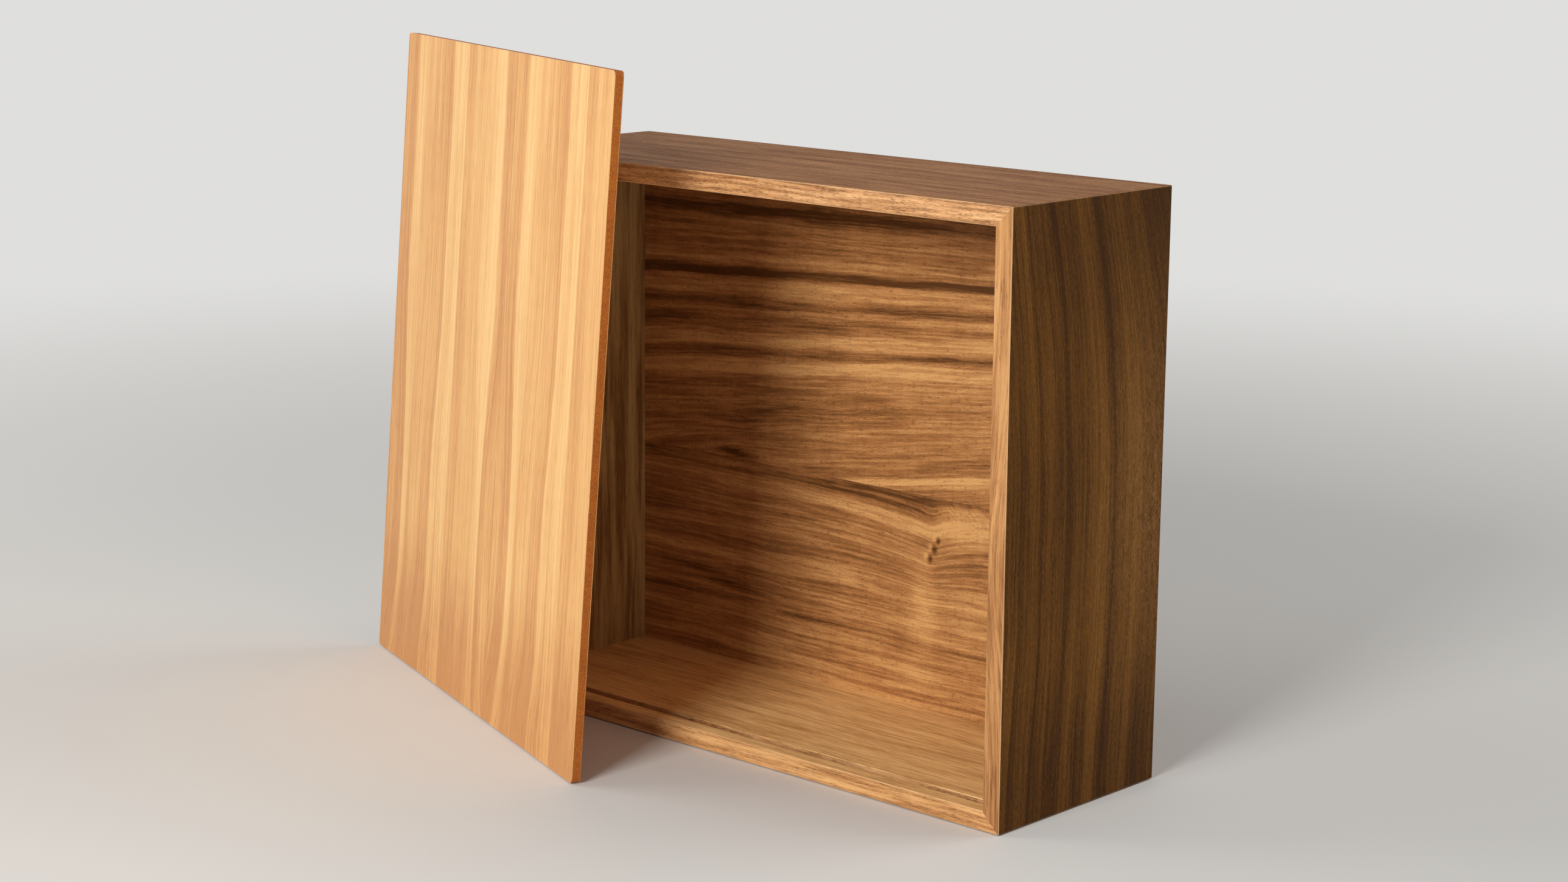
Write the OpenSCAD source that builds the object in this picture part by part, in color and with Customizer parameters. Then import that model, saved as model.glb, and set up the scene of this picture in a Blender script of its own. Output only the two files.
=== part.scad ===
// Shallow walnut-veneered box that stands on its long side, with a sliding lid drawn out and leant on it.
// The origin is the middle of the box's base, +Z is up and the open face looks towards -Y.

/* [Box] */
// Outer width of the box, along X
box_w = 360; // [260:1:480]
// Outer height of the box as it stands, along Z
box_h = 300; // [220:1:340]
// Outer depth from the open face to the rear, along Y
box_d = 124; // [80:1:200]
// Thickness of the four boards, veneers included
board_t = 10; // [9:0.5:14]
// Radius of the outer arrises after sanding
outer_round = 1; // [0.6:0.1:1.5]
// Chamfer on the inner arrises of the rims
inner_ease = 0.4; // [0.2:0.05:0.45]

/* [Veneer] */
// Thickness of each veneer and edge band
veneer_t = 0.5; // [0.5:0.1:0.9]

/* [Lid groove] */
// Rim of board left in front of the lid groove
front_lip = 8.4; // [6:0.2:12]
// Depth of the lid groove below the inner faces
groove_deep = 5.5; // [4:0.25:6.5]

/* [Lid] */
// Thickness of the lid, veneers included
lid_t = 5; // [4:0.5:7]
// Play between each face of the lid and its groove
lid_play = 0.6; // [0.3:0.1:1]
// Play between each long edge of the lid and the bottom of its groove
lid_side_play = 0.5; // [0.3:0.1:1]
// How far the closed lid ends short of the box's left face
lid_end_recess = 1; // [0:0.25:3]
// Radius of the lid's corners, seen on its face
lid_corner_r = 3; // [1.5:0.5:6]
// Radius of the lid's arrises
lid_round = 0.3; // [0.2:0.05:0.45]

/* [Back panel] */
// Thickness of the back panel, veneers included
back_t = 5; // [3:0.5:6]
// Rim of board left behind the back panel
back_lip = 8; // [5:0.5:12]
// Depth of the back panel's groove below the inner faces
back_groove_deep = 5; // [3:0.25:6]
// Play round the back panel's edges in its groove
back_edge_play = 0.5; // [0.3:0.1:1]
// Glue gap on each face of the back panel in its groove
back_glue_gap = 0.1; // [0.05:0.05:0.2]

/* [Lid as it stands] */
// Turn of the lid away from the plane of the box's front
lid_turn = 20.65; // [5:0.05:40]
// Lean of the lid back from upright
lid_lean = 4.05; // [2:0.05:8]
// Distance from the corner it leans on to the lid's right edge
lid_past = 179; // [100:1:200]

/* [Hidden] */
$fn = 48;

// Planes from front to rear
front_y = -box_d / 2;
rear_y = box_d / 2;
groove_w = lid_t + 2 * lid_play;
low_front_y = front_y + front_lip + groove_w;
back_groove_y = rear_y - back_lip - back_t - 2 * back_glue_gap;

// Clear size between the boards
inner_w = box_w - 2 * board_t;
inner_h = box_h - 2 * board_t;

// The lid reaches into three grooves and passes over the left board
lid_w = inner_h + 2 * groove_deep - 2 * lid_side_play;
lid_len = box_w - board_t + groove_deep - lid_side_play - lid_end_recess;

// The back panel reaches into four grooves
back_w = inner_w + 2 * (back_groove_deep - back_edge_play);
back_h = inner_h + 2 * (back_groove_deep - back_edge_play);

// The lid's rear bottom right corner on the floor, when its back touches the box's front top left corner
reach_up = box_h / cos(lid_lean);
lid_x = -box_w / 2 + lid_past * cos(lid_turn) - reach_up * sin(lid_lean) * sin(lid_turn);
lid_y = front_y - lid_past * sin(lid_turn) - reach_up * sin(lid_lean) * cos(lid_turn);

// Overlap that carries a cut clear through a face
cut = 1;

// Colours
core_tan = "#c49a68";
core_brown = "#8a5a3c";
top_brown = "#8c6b50";
side_brown = "#6b4a2a";
inside_brown = "#7a5233";
back_gold = "#a0703c";
band_tan = "#c79a68";
lid_honey = "#c99b6e";

// Rectangle with round corners, from its lowest corner
module round_rect(w, h, r) {
    translate([r, 0]) square([w - 2 * r, h]);
    translate([0, r]) square([w, h - 2 * r]);
    for (x = [r, w - r], y = [r, h - r])
        translate([x, y]) circle(r);
}

// Block with round arrises: r_x is the radius of the arrises along X, and so on
module eased_block(w, d, h, r_x, r_y, r_z) {
    intersection() {
        linear_extrude(h) round_rect(w, d, r_z);
        translate([0, d, 0]) rotate([90, 0, 0]) linear_extrude(d) round_rect(w, h, r_y);
        rotate([90, 0, 90]) linear_extrude(w) round_rect(d, h, r_x);
    }
}

// The space inside the box's sanded outer faces
module box_envelope() {
    translate([-box_w / 2, front_y, 0])
        eased_block(box_w, box_d, box_h, outer_round, outer_round, outer_round);
}

// The same for the left board, whose front arris is sanded too
module low_envelope() {
    intersection() {
        box_envelope();
        translate([-box_w / 2, low_front_y, 0])
            linear_extrude(box_h) round_rect(box_w, rear_y - low_front_y, outer_round);
    }
}

module envelope(side) {
    if (side == "left") low_envelope();
    else box_envelope();
}

function side_length(side) = side == "top" || side == "bottom" ? box_w : box_h;
function side_front(side) = side == "left" ? low_front_y : front_y;

// Puts a piece drawn for the bottom board on any side: X runs along the board and Z in from its outer face
module on_side(side) {
    if (side == "bottom") children();
    if (side == "top") translate([0, 0, box_h]) mirror([0, 0, 1]) children();
    if (side == "right") translate([box_w / 2, 0, box_h / 2]) rotate([0, -90, 0]) children();
    if (side == "left") mirror([1, 0, 0])
        translate([box_w / 2, 0, box_h / 2]) rotate([0, -90, 0]) children();
}

// One layer of a mitred board, between two depths from its outer face and two planes along Y
module mitred_layer(side, from_depth, to_depth, from_y, to_y) {
    half = side_length(side) / 2;
    translate([0, to_y, 0]) rotate([90, 0, 0]) linear_extrude(to_y - from_y)
        polygon([
            [-half + from_depth, from_depth], [half - from_depth, from_depth],
            [half - to_depth, to_depth], [-half + to_depth, to_depth]
        ]);
}

// A groove along the inner face of a board
module groove(side, from_y, w, deep) {
    len = side_length(side);
    translate([-len / 2, from_y, board_t - deep]) cube([len, w, deep + cut]);
}

module grooves(side) {
    groove(side, back_groove_y, back_t + 2 * back_glue_gap, back_groove_deep);
    if (side != "left") groove(side, front_y + front_lip, groove_w, groove_deep);
}

// Chamfer along the inner arris of a rim that lies in the plane y
module inner_arris(side, y) {
    leg = inner_ease * sqrt(2);
    translate([0, y, board_t]) rotate([45, 0, 0])
        cube([side_length(side), leg, leg], center = true);
}

// The layers that every board has
module board_core(side) {
    on_side(side) difference() {
        mitred_layer(side, veneer_t, board_t - veneer_t, side_front(side) + veneer_t, rear_y - veneer_t);
        grooves(side);
    }
}

module outer_veneer(side) {
    intersection() {
        on_side(side)
            mitred_layer(side, 0, veneer_t, side_front(side) + veneer_t, rear_y - veneer_t);
        envelope(side);
    }
}

module inner_veneer(side) {
    on_side(side) difference() {
        mitred_layer(side, board_t - veneer_t, board_t, side_front(side) + veneer_t, rear_y - veneer_t);
        grooves(side);
    }
}

module front_band(side) {
    intersection() {
        on_side(side) difference() {
            mitred_layer(side, 0, board_t, side_front(side), side_front(side) + veneer_t);
            inner_arris(side, side_front(side));
        }
        envelope(side);
    }
}

module rear_band(side) {
    intersection() {
        on_side(side) difference() {
            mitred_layer(side, 0, board_t, rear_y - veneer_t, rear_y);
            inner_arris(side, rear_y);
        }
        envelope(side);
    }
}

// Top board
module top_core() { color(core_tan) board_core("top"); }
module top_outer_veneer() { color(top_brown) outer_veneer("top"); }
module top_inner_veneer() { color(inside_brown) inner_veneer("top"); }
module top_front_band() { color(band_tan) front_band("top"); }
module top_rear_band() { color(band_tan) rear_band("top"); }

// Bottom board
module bottom_core() { color(core_tan) board_core("bottom"); }
module bottom_outer_veneer() { color(side_brown) outer_veneer("bottom"); }
module bottom_inner_veneer() { color(inside_brown) inner_veneer("bottom"); }
module bottom_front_band() { color(band_tan) front_band("bottom"); }
module bottom_rear_band() { color(band_tan) rear_band("bottom"); }

// Right board
module right_core() { color(core_tan) board_core("right"); }
module right_outer_veneer() { color(side_brown) outer_veneer("right"); }
module right_inner_veneer() { color(inside_brown) inner_veneer("right"); }
module right_front_band() { color(band_tan) front_band("right"); }
module right_rear_band() { color(band_tan) rear_band("right"); }

// Left board, lower by the lip and the groove so that the lid passes over it
module left_core() { color(core_tan) board_core("left"); }
module left_outer_veneer() { color(side_brown) outer_veneer("left"); }
module left_inner_veneer() { color(inside_brown) inner_veneer("left"); }
module left_front_band() { color(band_tan) front_band("left"); }
module left_rear_band() { color(band_tan) rear_band("left"); }

// Layer of the back panel between two depths from its inner face
module back_layer(from_depth, to_depth) {
    translate([-back_w / 2, back_groove_y + back_glue_gap + from_depth, box_h / 2 - back_h / 2])
        cube([back_w, to_depth - from_depth, back_h]);
}

module back_core() { color(core_brown) back_layer(veneer_t, back_t - veneer_t); }
module back_inner_veneer() { color(back_gold) back_layer(0, veneer_t); }
module back_rear_veneer() { color(side_brown) back_layer(back_t - veneer_t, back_t); }

// Stands a lid drawn upright, with its rear bottom right corner at the origin, on the floor against the box
module as_it_stands() {
    translate([lid_x, lid_y, 0]) rotate([0, 0, -lid_turn]) rotate([-lid_lean, 0, 0]) children();
}

// Layer of the lid between two depths from its face
module lid_layer(from_depth, to_depth) {
    as_it_stands() intersection() {
        translate([-lid_w, -lid_t, 0])
            eased_block(lid_w, lid_t, lid_len, lid_round, lid_corner_r, lid_round);
        translate([-lid_w - cut, -lid_t + from_depth, -cut])
            cube([lid_w + 2 * cut, to_depth - from_depth, lid_len + 2 * cut]);
    }
}

module lid_core() { color(core_brown) lid_layer(veneer_t, lid_t - veneer_t); }
module lid_face_veneer() { color(lid_honey) lid_layer(0, veneer_t); }
module lid_back_veneer() { color(lid_honey) lid_layer(lid_t - veneer_t, lid_t); }

top_core();
top_outer_veneer();
top_inner_veneer();
top_front_band();
top_rear_band();
bottom_core();
bottom_outer_veneer();
bottom_inner_veneer();
bottom_front_band();
bottom_rear_band();
right_core();
right_outer_veneer();
right_inner_veneer();
right_front_band();
right_rear_band();
left_core();
left_outer_veneer();
left_inner_veneer();
left_front_band();
left_rear_band();
back_core();
back_inner_veneer();
back_rear_veneer();
lid_core();
lid_face_veneer();
lid_back_veneer();
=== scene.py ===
# %% [markdown]
# # A walnut box with a sliding lid
#
# The box is made like much small cabinet work: wooden boards with walnut veneer glued to both faces and a
# strip of it on each long edge. The back panel and the lid are thinner, with pressed fibre inside. The lid
# has been drawn out of its grooves and stands on end against one corner.
#
# The construction comes in as a fixed frame, with one piece for each core, veneer and edge strip. What is
# left to do is the part that the eye judges first: the wood. It is built from a few shared shader groups, so
# that every sheet has its own figure and still belongs to one tree.

import math

import bpy
from mathutils import Matrix, Vector


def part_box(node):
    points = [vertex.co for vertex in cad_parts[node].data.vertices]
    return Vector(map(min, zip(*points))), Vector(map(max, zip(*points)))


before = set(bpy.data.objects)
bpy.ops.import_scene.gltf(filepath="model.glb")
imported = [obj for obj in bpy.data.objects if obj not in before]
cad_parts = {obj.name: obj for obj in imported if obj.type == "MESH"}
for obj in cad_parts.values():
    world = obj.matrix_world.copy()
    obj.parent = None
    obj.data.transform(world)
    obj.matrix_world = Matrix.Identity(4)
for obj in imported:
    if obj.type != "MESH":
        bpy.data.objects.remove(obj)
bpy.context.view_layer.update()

# %% [markdown]
# ## Sizes to work from
#
# Grain has to follow each sheet, so the sheets' places are needed. Typed in again, they could drift from the
# construction, so they are read from the frame: the outer veneers and the edge strips give the box's sizes
# and the corner that its sheets are measured from, just inside the rounded arrises. The lid's largest flat
# gives the direction it faces.

# %% Read the sizes of the box
MM = 1000

left_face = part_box("left_outer_veneer")[0].x
right_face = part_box("right_outer_veneer")[1].x
top_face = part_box("top_outer_veneer")[1].z
front_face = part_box("top_front_band")[0].y
rear_low, rear_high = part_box("bottom_rear_band")
box_sides = (right_face - left_face, rear_high.y - front_face, top_face)
box_width, box_depth, box_height = [round(side * MM, 1) for side in box_sides]
box_corner = Vector((rear_low.x, front_face, rear_low.z))
board = right_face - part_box("right_front_band")[0].x
print("box, mm", box_width, box_depth, box_height, "board, mm", round(board * MM, 1))


# %% Read how the lid stands
def largest_flat(piece):
    """The direction that the largest flat of a piece faces."""
    return max(piece.data.polygons, key=lambda face: face.area).normal.copy()


def reach(points, direction):
    """How far a set of points reaches in a direction: its lowest and highest place."""
    places = [point.dot(direction) for point in points]
    return min(places), max(places)


lid_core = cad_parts["lid_core"]
lid_normal = largest_flat(lid_core)
if lid_normal.y > 0:
    lid_normal = -lid_normal
lid_across = Vector((-lid_normal.y, lid_normal.x, 0)).normalized()
lid_along = lid_normal.cross(lid_across)
if lid_along.z < 0:
    lid_along = -lid_along
lid_points = [vertex.co for vertex in lid_core.data.vertices]
lid_left, lid_right = reach(lid_points, lid_across)
lid_foot, lid_top = reach(lid_points, lid_along)
lid_corner = lid_across * lid_left + lid_along * lid_foot
lid_lean = math.degrees(math.asin(lid_normal.z))
lid_turn = math.degrees(math.atan2(lid_normal.x, -lid_normal.y))
lid_width, lid_height = (lid_right - lid_left) * MM, (lid_top - lid_foot) * MM
print("lid, mm", round(lid_width, 1), round(lid_height, 1))
print("lid leans back", round(lid_lean, 2), "degrees and turns", round(lid_turn, 2))

# %% [markdown]
# ## The camera
#
# A long lens from the right, a little above the box, shows the open face, one side and the top together,
# which says more than a straight front view. The numbers are the camera's place in millimetres from the
# middle of the base, its three turns in degrees, and its lens, for a frame 36 mm wide.

# %% Place the camera
CAMERA_PLACE = (1021.7, -1128.8, 467.1)
CAMERA_TURN = 42.63
CAMERA_TILT = -11.54
CAMERA_ROLL = 0.48
LENS = 68.77
FRAME_WIDTH = 36
NEAREST = 50
FARTHEST = 60000

camera_data = bpy.data.cameras.new("camera")
camera_data.sensor_width = FRAME_WIDTH
camera_data.lens = LENS
camera_data.clip_start = NEAREST / MM
camera_data.clip_end = FARTHEST / MM
camera = bpy.data.objects.new("camera", camera_data)
bpy.context.collection.objects.link(camera)
turn = Matrix.Rotation(math.radians(CAMERA_TURN), 4, "Z")
tilt = Matrix.Rotation(math.radians(90 + CAMERA_TILT), 4, "X")
roll = Matrix.Rotation(math.radians(CAMERA_ROLL), 4, "Z")
camera.matrix_world = Matrix.Translation(Vector(CAMERA_PLACE) / MM) @ turn @ tilt @ roll
bpy.context.scene.camera = camera
print("camera stands", round(camera.location.length, 2), "m away")

# %% [markdown]
# ## Small helpers for shader work
#
# A wood shader is mostly arithmetic on coordinates. Written out node by node it hides its own idea, so a
# few short helpers come first: one adds any node and fills its inputs, and the others put the commonest
# sums into words. Each takes a plain value or another node's output.

# %% Helpers that add nodes
def add(tree, kind, inputs=None, **settings):
    """Adds a shader node, sets its options and fills its inputs."""
    made = tree.nodes.new("ShaderNode" + kind)
    for name, value in settings.items():
        setattr(made, name, value)
    for key, value in (inputs or {}).items():
        if isinstance(value, bpy.types.NodeSocket):
            tree.links.new(value, made.inputs[key])
        else:
            made.inputs[key].default_value = value
    return made


def calc(tree, operation, *values):
    """One sum, such as calc(tree, "ADD", a, 2)."""
    return add(tree, "Math", dict(enumerate(values)), operation=operation).outputs[0]


def times(tree, first, second):
    """One value times another."""
    return calc(tree, "MULTIPLY", first, second)


def minus(tree, first, second):
    """One value less another."""
    return calc(tree, "SUBTRACT", first, second)


def join(tree, x, y, z=0.0):
    """Three numbers as one vector."""
    return add(tree, "CombineXYZ", {0: x, 1: y, 2: z}).outputs[0]


def split(tree, vector):
    """One vector as its three numbers."""
    return add(tree, "SeparateXYZ", {0: vector}).outputs


print("helpers:", [helper.__name__ for helper in (add, calc, times, minus, join, split)])


# %% Helpers for masks, mixing and colours
def inverse(tree, value):
    """One less a value, so that high becomes low."""
    return minus(tree, 1.0, value)


def adjust(tree, value, mask, amount):
    """Adds an amount to a value, where a mask says so."""
    return calc(tree, "MULTIPLY_ADD", mask, amount, value)


def blend(tree, amount, first, second):
    """Mixes two colours by an amount from 0 to 1."""
    return add(tree, "Mix", {0: amount, 6: first, 7: second}, data_type="RGBA").outputs[2]


def between(tree, amount, first, second):
    """Goes from one number to another by an amount from 0 to 1."""
    return add(tree, "Mix", {0: amount, 2: first, 3: second}, data_type="FLOAT").outputs[0]


def linear(hex_colour):
    """A paint-chart colour such as 8a5a3c, as the linear numbers that shaders use."""
    parts = [int(hex_colour[start:start + 2], 16) / 255 for start in (0, 2, 4)]
    return tuple(p / 12.92 if p < 0.04045 else ((p + 0.055) / 1.055) ** 2.4 for p in parts) + (1,)


print("a mid walnut in linear numbers:", [round(part, 3) for part in linear("8a5a3c")])

# %% Helpers for steps, slopes and noise
NOISE_RANGE = (0.3, 0.7)


def smooth_step(tree, value, low, high, to_low=0.0, to_high=1.0):
    """Turns a value between low and high into a smooth step."""
    made = add(tree, "MapRange", {0: value, 1: low, 2: high, 3: to_low, 4: to_high},
               interpolation_type="SMOOTHSTEP")
    return made.outputs[0]


def falling_step(tree, value, low, high):
    """The same step downwards, from 1 to 0."""
    return smooth_step(tree, value, low, high, 1.0, 0.0)


def even_slope(tree, value, low, high, to_low=0.0, to_high=1.0):
    """Turns a value between low and high into an even slope, held at both ends."""
    return add(tree, "MapRange", {0: value, 1: low, 2: high, 3: to_low, 4: to_high}).outputs[0]


def noise(tree, vector, detail=2.0, roughness=0.5):
    """Soft random values at unit spacing along the vector."""
    made = add(tree, "TexNoise", {"Vector": vector, "Scale": 1.0, "Detail": detail, "Roughness": roughness})
    return made.outputs["Fac"]


print("soft noise lies mostly between", *NOISE_RANGE)


# %% Helpers that start and close a group
def open_group(name, inputs, outputs):
    """Starts a shader group; inputs are (name, kind, value) and outputs are (name, kind)."""
    tree = bpy.data.node_groups.new(name, "ShaderNodeTree")
    for label, kind, value in inputs:
        socket = tree.interface.new_socket(label, in_out="INPUT", socket_type="NodeSocket" + kind)
        if value is not None:
            socket.default_value = value
    for label, kind in outputs:
        tree.interface.new_socket(label, in_out="OUTPUT", socket_type="NodeSocket" + kind)
    return tree, tree.nodes.new("NodeGroupInput").outputs


def close_group(tree, **results):
    """Wires the results to the group's outputs; an underscore in a name stands for a space."""
    out = tree.nodes.new("NodeGroupOutput")
    for label, socket in results.items():
        tree.links.new(socket, out.inputs[label.replace("_", " ")])
    print("group", tree.name, "has", len(tree.nodes), "nodes")
    return tree

# %% [markdown]
# ## The floor
#
# The box stands on a plain pale floor, so wide that its edge is never seen. Paint goes grey far from the
# lamps, so a photographer lights the backdrop by itself.
# The floor does much the same: from half a metre out it fades into a pale colour of its own. Only the camera
# and the reflections see that colour, so it throws no light on the wood, and near the box the floor still
# takes the shadows.

# %% Make the floor
FLOOR_SIZE = 40
FLOOR_DROP = 0.0004
FLOOR_COLOUR = (0.8, 0.79, 0.77, 1)

floor_mesh = bpy.data.meshes.new("floor")
corner = FLOOR_SIZE / 2
floor_mesh.from_pydata(
    [(-corner, -corner, 0), (corner, -corner, 0), (corner, corner, 0), (-corner, corner, 0)],
    [], [(0, 1, 2, 3)])
floor = bpy.data.objects.new("floor", floor_mesh)
bpy.context.collection.objects.link(floor)
floor.location.z = -FLOOR_DROP
floor_paint = bpy.data.materials.new("floor_paint")
floor_paint.use_nodes = True
paint = floor_paint.node_tree.nodes["Principled BSDF"]
paint.inputs["Base Color"].default_value = FLOOR_COLOUR
paint.inputs["Roughness"].default_value = 0.7
paint.inputs["Specular IOR Level"].default_value = 0.2
floor_mesh.materials.append(floor_paint)
print("floor, m", FLOOR_SIZE)


# %% Keep the far floor pale
def seen_directly(tree):
    """1 for what the camera sees, straight or in a reflection, and 0 for light on its way to the wood."""
    path = add(tree, "LightPath").outputs
    mirrored = calc(tree, "MAXIMUM", path["Is Camera Ray"], path["Is Glossy Ray"])
    return calc(tree, "MAXIMUM", mirrored, path["Is Transmission Ray"])


FAR_COLOUR = (0.74, 0.735, 0.72, 1)
FADE_FROM = 0.5
FADE_TO = 1.8

tree = floor_paint.node_tree
place = add(tree, "TexCoord").outputs["Object"]
distance = add(tree, "VectorMath", {0: place}, operation="LENGTH").outputs["Value"]
far = smooth_step(tree, distance, FADE_FROM, FADE_TO)
pale = add(tree, "Emission", {"Color": FAR_COLOUR}).outputs[0]
share = times(tree, seen_directly(tree), far)
both = add(tree, "MixShader", {0: share, 1: paint.outputs[0], 2: pale})
tree.links.new(both.outputs[0], tree.nodes["Material Output"].inputs["Surface"])
print("the floor fades from", FADE_FROM, "to", FADE_TO, "m")

# %% [markdown]
# ## The light
#
# Wood needs a broad, soft source: a bare bulb would put a hard glint on each pore. The main panel stands in
# front, low and a little to the right, so the faces towards us are lit fully and the lid's shadow falls into
# the box behind it. A weaker panel on the left keeps that shadow open, and a third, behind on the right,
# lights the side and the top. The surround is dim, but the camera sees it as pale as the far floor, so that
# no edge shows where the floor ends.

# %% Set the lamps
LAMP_AIM = Vector((-0.03, 0, 0.16))
LAMP_COLOUR = (1, 0.98, 0.95)


def panel_lamp(name, turn, height, distance, size, power):
    """A square soft panel, seen from the box at a turn to the right and a height in degrees."""
    data = bpy.data.lights.new(name, "AREA")
    data.size = size
    data.energy = power
    data.color = LAMP_COLOUR
    lamp = bpy.data.objects.new(name, data)
    bpy.context.collection.objects.link(lamp)
    turned, raised = math.radians(turn), math.radians(height)
    level = Vector((math.sin(turned), -math.cos(turned), 0)) * math.cos(raised)
    direction = level + Vector((0, 0, math.sin(raised)))
    lamp.location = LAMP_AIM + direction * distance
    lamp.rotation_euler = (-direction).to_track_quat("-Z", "Y").to_euler()
    print(name, "hangs", round(lamp.location.z, 2), "m up")


panel_lamp("front_panel", turn=10, height=21, distance=2.3, size=0.8, power=37)
panel_lamp("left_panel", turn=-58, height=25, distance=2.3, size=1.4, power=14)
panel_lamp("rear_panel", turn=140, height=40, distance=2.4, size=1.4, power=14)

# %% Set the surround
SURROUND_COLOUR = (0.95, 0.95, 0.94, 1)
SURROUND_STRENGTH = 0.25

world = bpy.data.worlds.new("surround")
world.use_nodes = True
tree = world.node_tree
dim = tree.nodes["Background"]
dim.inputs["Color"].default_value = SURROUND_COLOUR
dim.inputs["Strength"].default_value = SURROUND_STRENGTH
pale = add(tree, "Background", {"Color": FAR_COLOUR, "Strength": 1.0}).outputs[0]
both = add(tree, "MixShader", {0: seen_directly(tree), 1: dim.outputs[0], 2: pale})
tree.links.new(both.outputs[0], tree.nodes["World Output"].inputs["Surface"])
bpy.context.scene.world = world
bpy.context.scene.view_settings.view_transform = "Standard"
print("lamps and a surround of strength", SURROUND_STRENGTH)

# %% [markdown]
# ## The figure of a sliced log
#
# Veneer is a thin slice through the yearly rings. Cut along the log, the rings show as stripes that run with
# the grain and wander a little, because no tree grows straight. So the figure is noise, stretched far along
# the grain and squeezed across it, looked up at a place that a slower noise has pushed sideways. Three widths
# of stripe are kept apart: broad bands of colour, the growth lines in them, and fibres for a close view.

# %% Group: figure
FIBRE_WIDTH = 0.45
FIBRE_LENGTH = 8.0
BAND_STRETCH = 14.0
WANDER_ACROSS = 0.45
WANDER_STRENGTH = 4.0

tree, given = open_group(
    "Sliced figure",
    [("Sheet", "Vector", None), ("Band Width", "Float", 30.0), ("Line Width", "Float", 4.0),
     ("Line Length", "Float", 45.0), ("Wander", "Float", 6.0), ("Wander Length", "Float", 160.0),
     ("Seed", "Float", 0.0)],
    [("Band", "Float"), ("Line", "Float"), ("Fibre", "Float"), ("Pushed Sheet", "Vector")])
apart = split(tree, given["Sheet"])
slow_x = calc(tree, "DIVIDE", apart[0], given["Wander Length"])
slow_y = calc(tree, "DIVIDE", apart[1], times(tree, given["Wander Length"], WANDER_ACROSS))
push = minus(tree, noise(tree, join(tree, slow_x, slow_y, given["Seed"]), detail=1.5), 0.5)
across = adjust(tree, apart[1], push, times(tree, given["Wander"], WANDER_STRENGTH))


def streaks(width, length, detail, offset):
    """Noise that changes over a width across the grain and over a length along it."""
    along = calc(tree, "DIVIDE", apart[0], length)
    over = calc(tree, "DIVIDE", across, width)
    depth = calc(tree, "ADD", apart[2], offset)
    return noise(tree, join(tree, along, over, depth), detail, roughness=0.55)


band_length = times(tree, given["Band Width"], BAND_STRETCH)
bands = streaks(given["Band Width"], band_length, detail=2.0, offset=3.1)
lines = streaks(given["Line Width"], given["Line Length"], detail=2.0, offset=7.7)
fibres = streaks(FIBRE_WIDTH, FIBRE_LENGTH, detail=3.0, offset=11.3)
sliced_figure = close_group(
    tree, Band=smooth_step(tree, bands, 0.33, 0.67), Line=smooth_step(tree, lines, 0.32, 0.68),
    Fibre=even_slope(tree, fibres, 0.22, 0.78), Pushed_Sheet=join(tree, apart[0], across, apart[2]))

# %% [markdown]
# ## Pores
#
# Walnut is known by its pores: thin dark dashes, a quarter of a millimetre wide and a few long, that lie with
# the grain and crowd together in bands. Rows of small drawn ellipses would look like rice from close by.
# Noise that is stretched along the grain and cut off near its peaks gives dashes of every length and
# darkness. A broader noise moves the cut and makes the crowds.

# %% Group: pores
HIGHEST_CUT = 0.66
CROWDING_LOWERS = 0.16
PLACE_LOWERS = 0.08
CROWD_LOWERS = 0.3
PORE_RIM = 0.13

tree, given = open_group(
    "Open pores",
    [("Pushed Sheet", "Vector", None), ("Length", "Float", 4.0), ("Width", "Float", 0.3),
     ("Crowding", "Float", 0.5), ("Where", "Float", 0.5)],
    [("Pore", "Float")])
apart = split(tree, given["Pushed Sheet"])


def dashes(length_times, width_times, detail):
    """Noise stretched to the pores' length and width, or a multiple of them."""
    along = calc(tree, "DIVIDE", apart[0], times(tree, given["Length"], length_times))
    over = calc(tree, "DIVIDE", apart[1], times(tree, given["Width"], width_times))
    return noise(tree, join(tree, along, over, apart[2]), detail, roughness=0.6)


crowd = minus(tree, dashes(length_times=4.0, width_times=9.0, detail=1.0), 0.5)
cut = adjust(tree, HIGHEST_CUT, given["Crowding"], -CROWDING_LOWERS)
cut = adjust(tree, cut, given["Where"], -PLACE_LOWERS)
cut = adjust(tree, cut, crowd, -CROWD_LOWERS)
over_cut = minus(tree, dashes(length_times=1.0, width_times=1.0, detail=2.0), cut)
open_pores = close_group(tree, Pore=smooth_step(tree, over_cut, 0.0, PORE_RIM))

# %% [markdown]
# ## Worn and lit arrises
#
# An arris is the narrow rounded edge where two flats meet. On a used box it is the palest line there is:
# hands rub it, lacquer pulls thin over it, and some of it always faces the light. Here that pale line is
# painted into the colour, so it is partly wear and partly a painted highlight. It can be found without
# measuring. On a flat, the surface faces along one of the piece's three main directions. On the rounding
# between two flats it faces in between.

# %% Group: worn and lit arris
TURNED_FULLY = 0.74
TURNED_HARDLY = 0.94

tree, given = open_group(
    "Worn and lit arris",
    [("Across", "Vector", (1, 0, 0)), ("Along", "Vector", (0, 0, 1)), ("Out", "Vector", (0, 1, 0))],
    [("Arris", "Float")])
facing = add(tree, "TexCoord").outputs["Normal"]
most = None
for axis in ("Across", "Along", "Out"):
    dot = add(tree, "VectorMath", {0: facing, 1: given[axis]}, operation="DOT_PRODUCT").outputs["Value"]
    size = calc(tree, "ABSOLUTE", dot)
    most = size if most is None else calc(tree, "MAXIMUM", most, size)
worn_and_lit_arris = close_group(tree, Arris=smooth_step(tree, most, TURNED_FULLY, TURNED_HARDLY, 1.0, 0.0))

# %% [markdown]
# ## From tone to walnut
#
# All the figure so far is one number, the tone: 0 for the darkest streak and 1 for the palest. Only at the
# end does it become colour, through three colours that each sheet brings along. One number keeps the streaks,
# lines and fibres in step, and lets one sheet be golden and the next one olive with the same patterns. Lines
# and fibres move the tone a little, and pores go darkest of all.

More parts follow.
